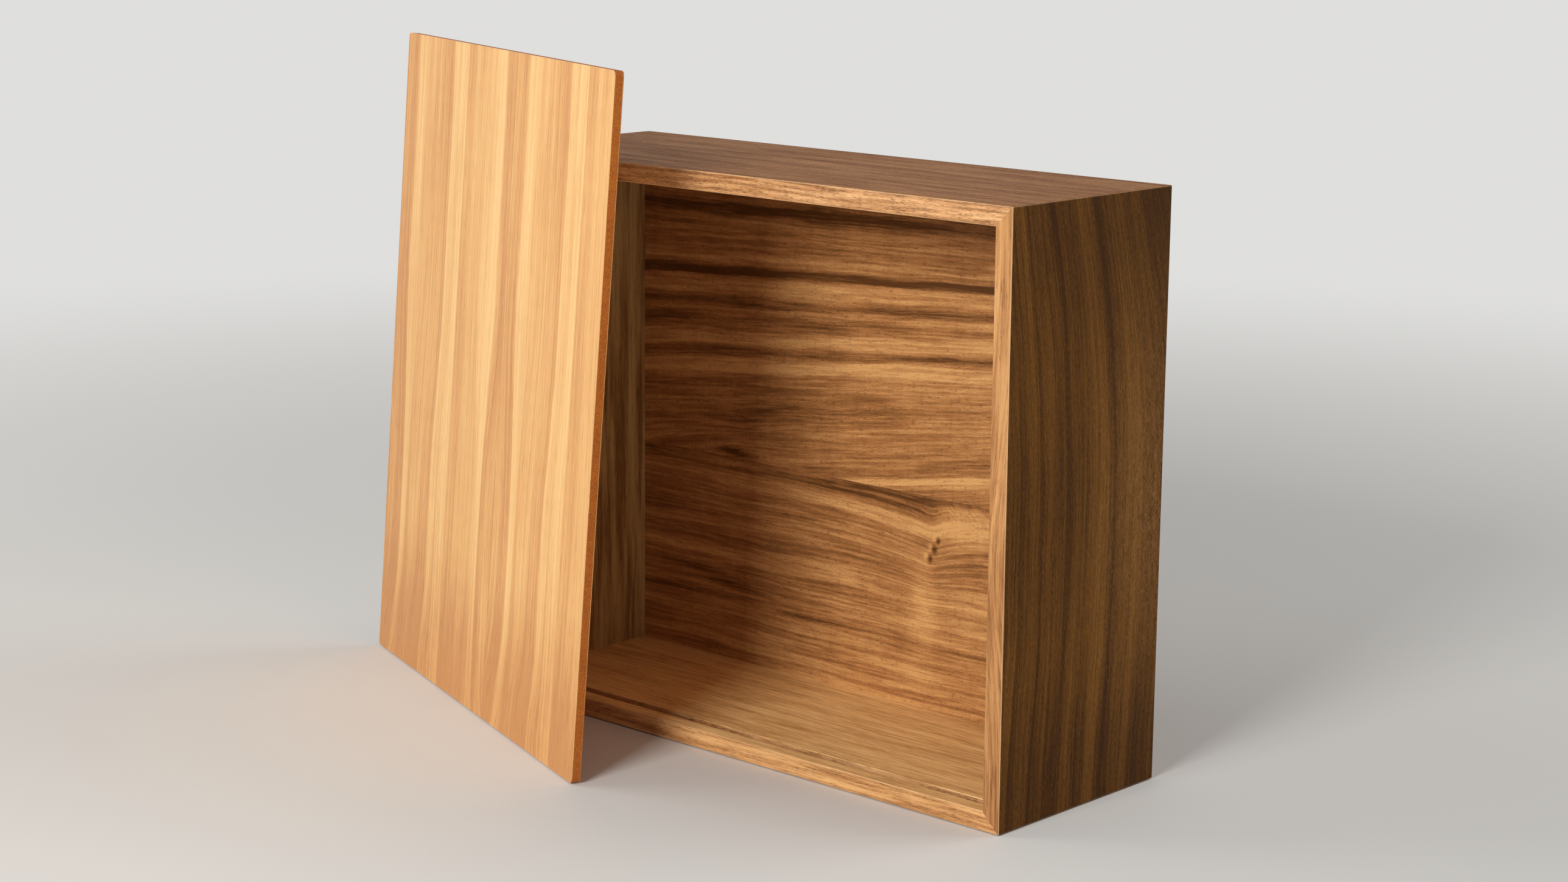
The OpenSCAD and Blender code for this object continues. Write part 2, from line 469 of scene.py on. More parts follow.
# %% Group: walnut tone
FIBRE_RISE = 0.25

tree, given = open_group(
    "Walnut tone",
    [("Tone", "Float", 0.5), ("Line", "Float", 0.5), ("Fibre", "Float", 0.5), ("Pore", "Float", 0.0),
     ("Line Depth", "Float", 0.2), ("Fibre Depth", "Float", 0.2), ("Pore Depth", "Float", 0.6),
     ("Dark", "Color", (0.1, 0.05, 0.02, 1)), ("Middle", "Color", (0.4, 0.2, 0.1, 1)),
     ("Pale", "Color", (0.7, 0.4, 0.2, 1)), ("Pore Colour", "Color", (0.1, 0.04, 0.015, 1))],
    [("Color", "Color"), ("Height", "Float")])
line_part = times(tree, minus(tree, given["Line"], 0.5), given["Line Depth"])
fibre_part = times(tree, minus(tree, given["Fibre"], 0.5), given["Fibre Depth"])
tone = calc(tree, "ADD", given["Tone"], calc(tree, "ADD", line_part, fibre_part))
lower_half = times(tree, tone, 2.0)
lower_half.node.use_clamp = True
upper_half = minus(tree, times(tree, tone, 2.0), 1.0)
upper_half.node.use_clamp = True
dark_side = blend(tree, lower_half, given["Dark"], given["Middle"])
wood = blend(tree, upper_half, dark_side, given["Pale"])
pored = blend(tree, times(tree, given["Pore"], given["Pore Depth"]), wood, given["Pore Colour"])
raised = times(tree, given["Fibre"], FIBRE_RISE)
walnut_tone = close_group(tree, Color=pored, Height=minus(tree, raised, given["Pore"]))

# %% [markdown]
# ## One recipe for every sheet
#
# Each sheet goes through the same steps: find where a point lies on the sheet, look up the figure, add pores,
# turn the tone into colour and finish it with satin lacquer. The shared part is below. Each material then
# says what is its own: how its grain lies, its stripes and its colours. Lacquer is the shader's coat, thin
# and not quite smooth, over wood whose pores still dent the surface a little.

# %% Start a sheet
X, Y, Z = Vector((1, 0, 0)), Vector((0, 1, 0)), Vector((0, 0, 1))


def start_material(name):
    """A new material with its tree and its Principled shader."""
    made = bpy.data.materials.new(name)
    made.use_nodes = True
    return made, made.node_tree, made.node_tree.nodes["Principled BSDF"]


def on_sheet(tree, along, across, start):
    """Where a point lies on a sheet, in millimetres along the grain and across it."""
    point = add(tree, "TexCoord").outputs["Object"]
    from_start = add(tree, "VectorMath", {0: point, 1: tuple(start)}, operation="SUBTRACT").outputs[0]
    places = []
    for axis in (along, across):
        dot = add(tree, "VectorMath", {0: from_start, 1: tuple(axis * MM)}, operation="DOT_PRODUCT")
        places.append(dot.outputs["Value"])
    return places


def group(tree, which, **inputs):
    """Places a shader group; underscores in input names stand for spaces."""
    made = tree.nodes.new("ShaderNodeGroup")
    made.node_tree = which
    for label, value in inputs.items():
        socket = made.inputs[label.replace("_", " ")]
        if isinstance(value, bpy.types.NodeSocket):
            tree.links.new(value, socket)
        else:
            socket.default_value = value
    return made.outputs


print("sheets are measured from, mm", [round(place * MM, 1) for place in box_corner])


# %% Set listed tones and let chance move them
def stripes(tree, value, tones):
    """A tone that changes across a sheet: tones are (millimetres, tone) pairs from low to high."""
    low, high = tones[0][0], tones[-1][0]
    ramp = add(tree, "ValToRGB", {0: even_slope(tree, value, low, high)})
    marks = ramp.color_ramp.elements
    for number, (where, tone) in enumerate(tones):
        share = (where - low) / (high - low)
        mark = marks[number] if number < 2 else marks.new(share)
        mark.position = share
        mark.color = (tone, tone, tone, 1)
    return ramp.outputs["Color"]


def vary(tree, tone, value, low, high, amount):
    """Lets a value between low and high move a tone by up to an amount, either way."""
    return calc(tree, "ADD", tone, even_slope(tree, value, low, high, -amount, amount))


def bell(tree, x, z, middle_x, middle_z, wide, high):
    """A soft round hill, 1 at its middle."""
    dx = calc(tree, "DIVIDE", minus(tree, x, middle_x), wide)
    dz = calc(tree, "DIVIDE", minus(tree, z, middle_z), high)
    squares = adjust(tree, times(tree, dz, dz), dx, dx)
    return calc(tree, "EXPONENT", times(tree, squares, -1.0))


BAND_TONE = 0.1
print("the broad bands move a tone by", BAND_TONE, "either way")

# %% Colour and finish a sheet
WORN_AND_LIT_COLOUR = linear("f8cc98")
DENT_DEPTH = 0.05
COAT_ROUGHNESS = 0.34
SMOOTHER_BY = 0.12


def walnut(tree, tone, figure, pores, depths, colours):
    """The wood's colour and height, from the depths of lines, fibres and pores and from four colours."""
    line_depth, fibre_depth, pore_depth = depths
    dark, middle, pale, pore_colour = colours
    return group(tree, walnut_tone, Tone=tone, Line=figure["Line"], Fibre=figure["Fibre"], Pore=pores["Pore"],
                 Line_Depth=line_depth, Fibre_Depth=fibre_depth, Pore_Depth=pore_depth,
                 Dark=dark, Middle=middle, Pale=pale, Pore_Colour=pore_colour)


def lacquered(tree, shader, colour, height, roughness, coat, bump, gloss=0.25, turned=(X, Z, Y), rubbed_and_lit=0.45,
              arris_colour=WORN_AND_LIT_COLOUR):
    """Wires colour and surface to the shader under a thin satin lacquer, with the arrises painted pale:
    partly wear, partly a painted highlight.
    """
    across, along, out = turned
    arris = group(tree, worn_and_lit_arris, Across=across, Along=along, Out=out)["Arris"]
    # Painted highlight and wear: the arris is mixed towards the arris colour, which is pale on most sheets.
    colour = blend(tree, times(tree, arris, rubbed_and_lit), colour, arris_colour)
    tree.links.new(colour, shader.inputs["Base Color"])
    rough = even_slope(tree, height, -1.0, 0.25, roughness + SMOOTHER_BY, roughness)
    rough = adjust(tree, rough, arris, -SMOOTHER_BY)
    tree.links.new(rough, shader.inputs["Roughness"])
    dents = add(tree, "Bump", {"Height": height, "Strength": bump, "Distance": DENT_DEPTH / MM})
    tree.links.new(dents.outputs[0], shader.inputs["Normal"])
    shader.inputs["Specular IOR Level"].default_value = gloss
    shader.inputs["Coat Weight"].default_value = coat
    shader.inputs["Coat Roughness"].default_value = COAT_ROUGHNESS


print("pores dent the surface by up to", DENT_DEPTH, "mm")

# %% [markdown]
# ## The lid's face
#
# The lid is the palest sheet: golden sapwood stripes beside tan heartwood, up its whole height. It was laid
# up from two leaves cut one after the other, so the stripes on the left come again on the right, a leaf's
# width further on, with a fine straight joint between. They bulge sideways low down, where a branch once
# stood, and the sheet is darker towards its foot: partly its own darker wood and partly painted shade where
# the light falls off. Noise never repeats like that, so the stripes are set one by one along one leaf and
# bent by two curves.

# %% The lid's stripes and their bends, in millimetres
LEAF_WIDTH = 163.7
LEAF_START = 1.7
LID_TONES = [(-10, 0.36), (3, 0.44), (7, 0.26), (16, 0.22), (18.5, 0.8), (24, 0.88), (29, 0.84), (34, 0.66),
             (38, 0.54), (55, 0.5), (62, 0.36), (71.5, 0.24), (72.8, 0.34), (73.4, 0.78),
             (78, 0.84), (82, 0.58), (86, 0.82), (94.2, 0.76), (95.2, 0.32), (104, 0.42), (110, 0.54),
             (124, 0.46), (131, 0.66), (138, 0.84), (150, 0.9), (151.4, 0.26), (158, 0.18), (163, 0.28),
             (170, 0.42), (180, 0.36)]
BULGE_BY_HEIGHT = [(0, 0.3), (45, 0.85), (100, 1), (170, 0.4), (235, -0.12), (300, -0.1), (354, 0)]
BULGE_BY_PLACE = [(-10, 1), (18, 1), (38, -0.9), (72, -0.8), (95, 0), (110, 0.15), (131, 0.6), (151, -1.6),
                  (180, -1.6)]
BULGE = 6.7
FOOT_SWAY = [(0, 9.5), (21, 6), (45, 1.5), (62, 0), (354, 0)]
SWAY_ENDS = (60, 95)


def curve(tree, value, points):
    """A smooth curve through given points of place and amount."""
    low, high = points[0][0], points[-1][0]
    least, most = min(p[1] for p in points), max(p[1] for p in points)
    node = add(tree, "FloatCurve", {1: even_slope(tree, value, low, high)})
    line = node.mapping.curves[0]
    for number, (where, amount) in enumerate(points):
        place = ((where - low) / (high - low), (amount - least) / (most - least))
        if number in (0, len(points) - 1):
            line.points[-1 if number else 0].location = place
        else:
            line.points.new(*place)
    node.mapping.update()
    return even_slope(tree, node.outputs[0], 0.0, 1.0, least, most)


print("tones set by hand across one leaf:", len(LID_TONES))

# %% Material: lid veneer
FOOT_FADE = (15, 95)
FOOT_SHADE_AND_TONE = 0.55
LEFT_FADE = (0, 90)
LEFT_DARKER = 0.16
LAST_STRIPE = (148, 154)
LAST_STRIPE_ENDS = (45, 95)
LAST_STRIPE_PALER = 0.46
JOINT_WIDTH = 0.5
JOINT_DARKER = 0.4
LEAF_DRIFT = 0.06
LID_COLOURS = [linear(code) for code in ("c68a51", "dda766", "ecc182", "9a6029")]


def lid_veneer(name, seed, arris_colour=WORN_AND_LIT_COLOUR):
    """Golden striped walnut in matching leaves."""
    made, tree, shader = start_material(name)
    along, across = on_sheet(tree, lid_along, lid_across, lid_corner)
    laid = minus(tree, across, LEAF_START)
    count = calc(tree, "FLOOR", calc(tree, "DIVIDE", laid, LEAF_WIDTH))
    leaf = adjust(tree, laid, count, -LEAF_WIDTH)

    bulge = times(tree, curve(tree, along, BULGE_BY_HEIGHT), curve(tree, leaf, BULGE_BY_PLACE))
    sway = times(tree, curve(tree, along, FOOT_SWAY), falling_step(tree, leaf, *SWAY_ENDS))
    grown = calc(tree, "ADD", adjust(tree, leaf, bulge, -BULGE), sway)
    leaf_seed = adjust(tree, seed, count, LEAF_DRIFT)
    figure = group(tree, sliced_figure, Sheet=join(tree, along, grown, leaf_seed), Band_Width=9.0,
                   Line_Width=1.2, Line_Length=150.0, Wander=0.4, Wander_Length=90.0, Seed=seed)

    tone = stripes(tree, split(tree, figure["Pushed Sheet"])[1], LID_TONES)
    tone = vary(tree, tone, figure["Band"], 0.0, 1.0, BAND_TONE)
    # Painted shade: darker towards the foot, partly the sheet's own darker wood and partly the light falling
    # off.
    tone = adjust(tree, tone, falling_step(tree, along, *FOOT_FADE), -FOOT_SHADE_AND_TONE)
    tone = adjust(tree, tone, falling_step(tree, across, *LEFT_FADE), -LEFT_DARKER)
    last_stripe = smooth_step(tree, leaf, *LAST_STRIPE)
    last_stripe = times(tree, last_stripe, falling_step(tree, along, *LAST_STRIPE_ENDS))
    tone = adjust(tree, tone, last_stripe, LAST_STRIPE_PALER)
    to_joint = calc(tree, "PINGPONG", leaf, LEAF_WIDTH / 2)
    tone = adjust(tree, tone, falling_step(tree, to_joint, 0.0, JOINT_WIDTH), -JOINT_DARKER)

    pores = group(tree, open_pores, Pushed_Sheet=figure["Pushed Sheet"], Length=14.0, Width=0.25,
                  Crowding=0.45, Where=inverse(tree, tone))
    wood = walnut(tree, tone, figure, pores, (0.4, 0.3, 0.42), LID_COLOURS)
    lacquered(tree, shader, wood["Color"], wood["Height"], roughness=0.4, coat=0.1, bump=0.25,
              turned=(lid_across, lid_along, lid_normal), rubbed_and_lit=0.7, arris_colour=arris_colour)
    return made


print("a leaf is", LEAF_WIDTH, "mm wide, so the lid takes", round(lid_width / LEAF_WIDTH, 2))

# %% [markdown]
# ## The outside of the box
#
# The outer sheets are heartwood with soft stripes. The grain runs along each board, so on the sides it stands
# upright. The right side is the darkest: olive brown, with five darker lines that lean over near the top, and
# fine ripples. Towards its top and its foot, and in its front half around mid height, it is painted darker:
# painted shade, which leaves the middle near the rear edge lighter, as a sheen would. Near its rear edge the
# lacquer glints beside the pores. A soft bump would not show that, so the glints are painted highlights, pale
# dashes of their own. Top and bottom are quieter, a grey brown with short pores.

# %% The sides' stripes and their lean, in millimetres
SIDE_TONES = [(-30, 0.4), (-2, 0.4), (5, 0.58), (10, 0.5), (11.5, 0.28), (14, 0.46),
              (21, 0.72), (25, 0.6), (26.8, 0.2), (28.6, 0.42), (36, 0.56), (37.5, 0.36), (39, 0.5),
              (45.4, 0.44), (46.6, 0.2), (48.2, 0.24), (51, 0.46), (55, 0.62), (61, 0.5), (62.4, 0.3),
              (66, 0.54), (77, 0.78), (80.5, 0.5), (82.6, 0.16), (84.4, 0.22), (87, 0.46), (96, 0.66),
              (99, 0.46), (103, 0.7), (111, 0.38), (140, 0.45)]
LEAN_FROM = 165.0
LEAN_POWER = 1.8
LEAN_FRONT, LEAN_REAR = 16.0, 28.0
FOOT_HEIGHT = 110.0
FOOT_SHIFT = 5.0


def leaning(tree, along, across):
    """How far a stripe has grown across the side: it leans over near the top and a little at the foot."""
    height = even_slope(tree, along, LEAN_FROM, box_height)
    lean = calc(tree, "POWER", height, LEAN_POWER)
    most = even_slope(tree, across, 0.0, box_depth, LEAN_FRONT, LEAN_REAR)
    foot = smooth_step(tree, along, 0.0, FOOT_HEIGHT, FOOT_SHIFT, 0.0)
    return calc(tree, "ADD", adjust(tree, across, lean, most), foot)


print("tones set by hand across a side:", len(SIDE_TONES))

# %% Material: sides
SIDE_RANGE = (0.07, 0.91)
RIPPLE_LENGTH = 2.4
RIPPLE_WIDTH = 0.55
RIPPLE_TONE = 0.22
RIPPLE_HEIGHT = 0.8
HEAD_FADE = (190.0, 290.0)
TOE_FADE = (20.0, 90.0)
ENDS_SHADE = 0.27
SHOULDER_FADE = (50.0, 90.0)
SHOULDER = (165, 30, 60, 60)
SHOULDER_SHADE = 0.2
GLINT_SEED = 40
GLINTS = (150, 120, 85, 44)
GLINT_SHARE = 0.5
GLINT_COLOUR = linear("b98a58")
SIDE_COLOURS = [linear(code) for code in ("4a2b0b", "774c1b", "9c6a30", "2a1405")]


def side_veneer(name, seed, mirrored):
    """Dark walnut with upright lines that lean over near the top."""
    made, tree, shader = start_material(name)
    along, across = on_sheet(tree, Z, Y, box_corner)
    if mirrored:
        across = minus(tree, box_depth, across)
    grown = leaning(tree, along, across)
    figure = group(tree, sliced_figure, Sheet=join(tree, along, grown, seed), Band_Width=15.0, Line_Width=1.3,
                   Line_Length=110.0, Wander=1.0, Wander_Length=55.0, Seed=seed)

    tone = stripes(tree, split(tree, figure["Pushed Sheet"])[1], SIDE_TONES)
    tone = even_slope(tree, tone, 0.0, 1.0, *SIDE_RANGE)
    tone = vary(tree, tone, figure["Band"], 0.0, 1.0, BAND_TONE)
    ripple_along = calc(tree, "DIVIDE", along, RIPPLE_LENGTH)
    ripple_across = calc(tree, "DIVIDE", grown, RIPPLE_WIDTH)
    ripple = noise(tree, join(tree, ripple_along, ripple_across, seed), detail=3.0, roughness=0.65)
    tone = vary(tree, tone, ripple, *NOISE_RANGE, RIPPLE_TONE)
    # Painted shade: the front half of the side is darker around mid height, leaving the rear middle lighter.
    shaded_shoulder = falling_step(tree, across, *SHOULDER_FADE)
    shaded_shoulder = times(tree, shaded_shoulder, bell(tree, along, across, *SHOULDER))
    tone = adjust(tree, tone, shaded_shoulder, -SHOULDER_SHADE)
    # Painted shade: the side darkens towards its top and its foot, so that its middle reads as lit by a
    # sheen.
    ends = calc(tree, "ADD", smooth_step(tree, along, *HEAD_FADE), falling_step(tree, along, *TOE_FADE))
    tone = adjust(tree, tone, ends, -ENDS_SHADE)

    pores = group(tree, open_pores, Pushed_Sheet=figure["Pushed Sheet"], Length=3.0, Width=0.25,
                  Crowding=0.5, Where=inverse(tree, tone))
    wood = walnut(tree, tone, figure, pores, (0.28, 0.4, 0.5), SIDE_COLOURS)
    # Painted highlight: pale dashes in the colour stand in for the lacquer's glints near the rear edge.
    glints = group(tree, open_pores, Pushed_Sheet=join(tree, along, grown, seed + GLINT_SEED), Length=2.4,
                   Width=0.26, Crowding=0.95, Where=0.5)["Pore"]
    shine = times(tree, times(tree, glints, bell(tree, along, across, *GLINTS)), GLINT_SHARE)
    colour = blend(tree, shine, wood["Color"], GLINT_COLOUR)
    surface = adjust(tree, wood["Height"], ripple, RIPPLE_HEIGHT)
    lacquered(tree, shader, colour, surface, roughness=0.5, coat=0.0, bump=0.6, gloss=0.06, rubbed_and_lit=0.35)
    return made


print("the glints spread", 2 * GLINTS[2], "mm up and down")

# %% Material: quiet walnut
ARCH_MIDDLE = 135
ARCH_REACH = 70
DARK_SHARE = 0.52
PALE_SHARE = 1.36
QUIET_PORES = linear("54290f")


def shade(colour, light):
    """The same wood, lighter or darker. Darker wood is redder, so green and blue move more."""
    red, green, blue = colour[:3]
    return red * light, green * light ** 1.4, blue * light ** 1.8, 1


def plain_veneer(name, along_axis, across_axis, seed, colour, width=9.0, contrast=0.5, lines=0.34, fibres=0.5,
                 crowding=0.5, pore_size=(3.2, 0.22), pore_depth=0.6, gloss=0.25, coat=0.08, rubbed_and_lit=0.12,
                 arch=0.0, rise=0.0):
    """Soft streaks, fine lines, short pores. An arch bends them, and a rise makes one end paler."""
    made, tree, shader = start_material(name)
    along, across = on_sheet(tree, along_axis, across_axis, box_corner)
    off = calc(tree, "DIVIDE", minus(tree, along, ARCH_MIDDLE), ARCH_REACH)
    hill = calc(tree, "EXPONENT", times(tree, times(tree, off, off), -1.0))
    bent = adjust(tree, across, hill, arch)
    figure = group(tree, sliced_figure, Sheet=join(tree, along, bent, seed), Band_Width=width,
                   Line_Width=1.5, Wander=1.4, Wander_Length=150.0, Seed=seed)
    tone = even_slope(tree, figure["Band"], 0.0, 1.0, 0.5 - contrast / 2, 0.5 + contrast / 2)
    tone = vary(tree, tone, along, 0.0, box_height, rise)
    length, thickness = pore_size
    pores = group(tree, open_pores, Pushed_Sheet=figure["Pushed Sheet"], Length=length, Width=thickness,
                  Crowding=crowding, Where=inverse(tree, figure["Line"]))
    wood = walnut(tree, tone, figure, pores, (lines, fibres, pore_depth),
                  (shade(colour, DARK_SHARE), colour, shade(colour, PALE_SHARE), QUIET_PORES))
    lacquered(tree, shader, wood["Color"], wood["Height"], roughness=0.42, coat=coat, bump=0.4, gloss=gloss,
              rubbed_and_lit=rubbed_and_lit)
    return made


print("an arch in the grain spans", 2 * ARCH_REACH, "mm")

# %% [markdown]
# ## The back panel
#
# The panel behind the opening is the show piece: wild figure with dark and golden streaks and a small knot.
# Two leaves meet in a level joint. In the upper leaf the streaks climb to the right, and climb faster the
# lower they are. In the lower leaf they dip towards the knot and rise again beyond it. Both are drawn the
# same way: first a grown height, which follows the fibres as contour lines follow a hill, and then tones set
# along that height.

# %% The back panel's tones by grown height, in millimetres
JOINT_HEIGHT = 125.5
CROWN_HEIGHT = 239.6
UPPER_TONES = [(100, 0.46), (126, 0.42), (134, 0.52), (137, 0.6), (138.2, 0.86), (140.5, 0.8),
               (141.5, 0.5), (148, 0.42), (156, 0.56), (171, 0.46), (174, 0.36), (178, 0.5),
               (190, 0.55), (192, 0.82), (197, 0.8), (199, 0.5), (201, 0.3), (203.5, 0.42), (205, 0.76),
               (210, 0.66), (213, 0.44), (217.5, 0.34), (221, 0.66), (224, 0.28), (227, 0.44), (230, 0.74),
               (235, 0.68), (236.4, 0.5), (237.3, 0.02), (CROWN_HEIGHT, 0.02)]
# In the crown, the dark band near 267 mm is painted shadow under the top board; the other crown tones are the
# wood's own.
CROWN_TONES_AND_SHADOW = [(CROWN_HEIGHT, 0.02), (241, 0.4), (244, 0.66), (250, 0.52), (256, 0.46), (262, 0.5),
               (265, 0.34), (267, 0.12), (269, 0.14), (271, 0.36), (280, 0.44), (300, 0.4)]
LOWER_TONES = [(0, 0.74), (11, 0.68), (15, 0.54), (19, 0.72), (24, 0.5), (28, 0.66), (33, 0.48),
               (36, 0.68), (42, 0.52), (44.5, 0.26), (47, 0.52), (50, 0.68), (54, 0.46), (56, 0.66),
               (60, 0.48), (66, 0.45), (69, 0.74), (72, 0.62), (78, 0.48), (86, 0.52), (91.5, 0.44),
               (95, 0.54), (98, 0.44), (102, 0.52), (105.5, 0.36), (108, 0.5), (111, 0.72), (115, 0.66),
               (117.5, 0.44), (120, 0.4), (150, 0.4)]
print("the back panel's leaves meet", JOINT_HEIGHT, "mm up")


# %% The two leaves' grown heights
KNOT_X, KNOT_Z = 44, 97
PIN_X, PIN_Z = -97, 132
PIN_WIDE, PIN_HIGH = 30, 9
PIN_LIFT = 3.0
FAN_X = 81.0
CLIMB = 0.307
SPREAD = 0.00108
DIP_LEFT, DIP_RIGHT = 6.0, 9.5
DIP_REACH = 21.0
DIP_ROUNDING = 12.0
DIP_DEPTH = 1.15
BEYOND_KNOT = (-4.0, 6.0)
DIP_STARTS = (62, 96, 0.1, 1.0)
DIP_ENDS = (112, 125, 1.0, 0.3)


def upper_leaf(tree, x, z):
    """Grown height above the joint: it climbs to the right, more steeply lower down."""
    left_of_fan = minus(tree, FAN_X, x)
    climbed = adjust(tree, z, left_of_fan, CLIMB)
    grown = calc(tree, "DIVIDE", climbed, adjust(tree, 1.0, left_of_fan, SPREAD))
    return adjust(tree, grown, bell(tree, x, z, PIN_X, PIN_Z, PIN_WIDE, PIN_HIGH), -PIN_LIFT)


def lower_leaf(tree, x, z):
    """Grown height below the joint: it dips to the knot and rises beyond it."""
    beside = minus(tree, x, KNOT_X)
    rounded = calc(tree, "SQRT", adjust(tree, DIP_ROUNDING, beside, beside))
    fade = calc(tree, "EXPONENT", calc(tree, "DIVIDE", rounded, -DIP_REACH))
    beyond = smooth_step(tree, beside, *BEYOND_KNOT)
    more = times(tree, beyond, DIP_RIGHT - DIP_LEFT)
    dip = times(tree, fade, calc(tree, "ADD", more, DIP_LEFT))
    dip = times(tree, minus(tree, dip, more), DIP_DEPTH)
    start, end = smooth_step(tree, z, *DIP_STARTS), smooth_step(tree, z, *DIP_ENDS)
    return adjust(tree, z, dip, times(tree, start, end))


print("the knot lies", KNOT_X, "mm right of the middle and", KNOT_Z, "mm up")

# %% The knot's slits
# A slit is its middle across and up, and half its width.
SLITS = ((42.6, 92.6, 1.7), (45.3, 97.6, 1.9), (47.9, 102.8, 1.3))
SLIT_LENGTH = 1.5
SLIT_RIM = (-2.6, 0.6, 1.6, 2.2)
SLIT_RIM_PALER = 0.3
PIN_KNOT = (PIN_X - 3, PIN_Z - 3.5, 11, 2.2)
KNOT_SHADOW = (KNOT_X - 7, KNOT_Z + 3, 7, 4)
KNOT_SHADOW_DEPTH = 0.4


def knot_marks(tree, x, z):
    """The pin knot on the left, three dark slits where the branch was, and the shadow beside them."""
    marks = bell(tree, x, z, *PIN_KNOT)
    for slit_x, slit_z, size in SLITS:
        marks = calc(tree, "MAXIMUM", marks, bell(tree, x, z, slit_x, slit_z, size, size * SLIT_LENGTH))
    shadow = times(tree, bell(tree, x, z, *KNOT_SHADOW), KNOT_SHADOW_DEPTH)
    return calc(tree, "MAXIMUM", marks, shadow)


def slit_rims(tree, tone, x, z):
    """Lightens the wood just left of each slit."""
    right, up, wide, high = SLIT_RIM
    for slit_x, slit_z, _ in SLITS:
        tone = adjust(tree, tone, bell(tree, x, z, slit_x + right, slit_z + up, wide, high), SLIT_RIM_PALER)
    return tone


print("slits in the knot:", len(SLITS))

# %% Patches round the knot
# A patch is its middle across and up, half its width and height, and what it adds to the tone.
PATCHES = {
    "gold above the knot": (KNOT_X + 22, 108, 22, 6, 0.34),
    "pale column under the knot": (KNOT_X - 6, 62, 9, 36, 0.26),
    "pale wood below, on the right": (KNOT_X + 24, 84, 22, 7, 0.1),
}
FALLING_STREAK = (-102, 51, 34, 3.8)
FALLING_SLOPE = 0.14
FALLING_START = 11.0
FALLING_DARKER = 0.34
WEDGE_LEFT, WEDGE_RIGHT = (-50, 0), (36, 54)
WEDGE_FOOT = (115.5, 118.5)
WEDGE_DARKER = 0.17
CURLY = (KNOT_X + 24, 117, 20, 9)
CURL_ALONG, CURL_ACROSS = (0.3, 0.4), (0.08, -0.06)
CURL_TONE = (-0.1, 0.4)


def patches(tree, tone, x, z):
    """Lightens the patches round the knot and darkens the streak that falls towards the left corner."""
    for middle_x, middle_z, wide, high, change in PATCHES.values():
        tone = adjust(tree, tone, bell(tree, x, z, middle_x, middle_z, wide, high), change)
    falling = adjust(tree, calc(tree, "ADD", z, FALLING_START), x, FALLING_SLOPE)
    return adjust(tree, tone, bell(tree, x, falling, *FALLING_STREAK), -FALLING_DARKER)


def wedge(tree, tone, x, grown, is_lower):
    """Darkens the wedge between the joint and the pale sweep over the knot."""
    mask = times(tree, smooth_step(tree, x, *WEDGE_LEFT), falling_step(tree, x, *WEDGE_RIGHT))
    mask = times(tree, mask, smooth_step(tree, grown, *WEDGE_FOOT))
    return adjust(tree, tone, times(tree, mask, is_lower), -WEDGE_DARKER)


def curly_patch(tree, tone, x, z, seed, is_lower):
    """Short slanting ripples in the fibres, right above the knot."""
    mask = times(tree, bell(tree, x, z, *CURLY), is_lower)
    along = adjust(tree, times(tree, z, CURL_ALONG[1]), x, CURL_ALONG[0])
    across = adjust(tree, times(tree, x, CURL_ACROSS[0]), z, CURL_ACROSS[1])
    curl = noise(tree, join(tree, along, across, seed), detail=3.0, roughness=0.6)
    return adjust(tree, tone, mask, even_slope(tree, curl, *NOISE_RANGE, *CURL_TONE))


print("patches:", ", ".join(PATCHES))


# %% Material: figured back panel
LEAF_APART = 5.0
KNOT_DARKER = 0.7
TONE_STRETCH = 0.08
FLECK_WIDE, FLECK_HIGH = 8.0, 24.0
FLECK_TONE = 0.035
BACK_COLOURS = [linear(code) for code in ("5a3817", "b47c49", "e2ad6e", "643a19")]


